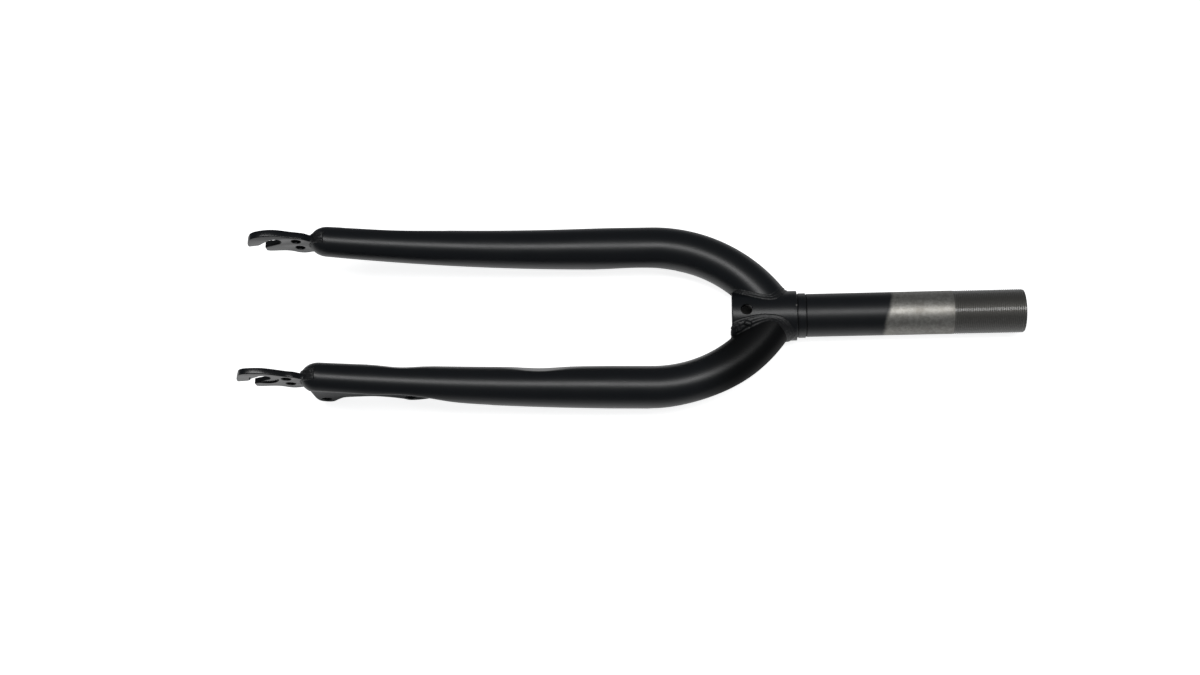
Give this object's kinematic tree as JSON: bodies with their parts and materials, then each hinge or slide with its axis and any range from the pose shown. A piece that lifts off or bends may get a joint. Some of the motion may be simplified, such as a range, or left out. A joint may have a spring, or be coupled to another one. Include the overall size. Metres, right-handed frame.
{
  "type": "bicycle fork",
  "caption": "Rigid steel bicycle fork with curved tapered legs, hooked dropouts, a disc brake tab and a threaded steerer, lying on its back.",
  "frame": {"origin": "on the steerer axis at the crown race shoulder", "axes": "+X along the steerer towards its threaded end, +Y to the rider's right, +Z to the front of the fork, which is up as it lies"},
  "size_m": [0.4531, 0.1118, 0.0663],
  "materials": {
    "steerer_steel": "bare steel at the threaded end, satin black paint below",
    "black_paint": "satin black paint"
  },
  "bodies": {
    "root": {"steerer_tube": "steerer_steel", "crown_sleeve": "black_paint", "leg_right": "black_paint", "leg_left": "black_paint", "dropout_right": "black_paint", "dropout_left": "black_paint", "disc_tab": "black_paint", "crown_weld_right": "black_paint", "crown_weld_left": "black_paint", "dropout_weld_right": "black_paint", "dropout_weld_left": "black_paint", "disc_tab_weld": "black_paint"}
  },
  "joints": []
}
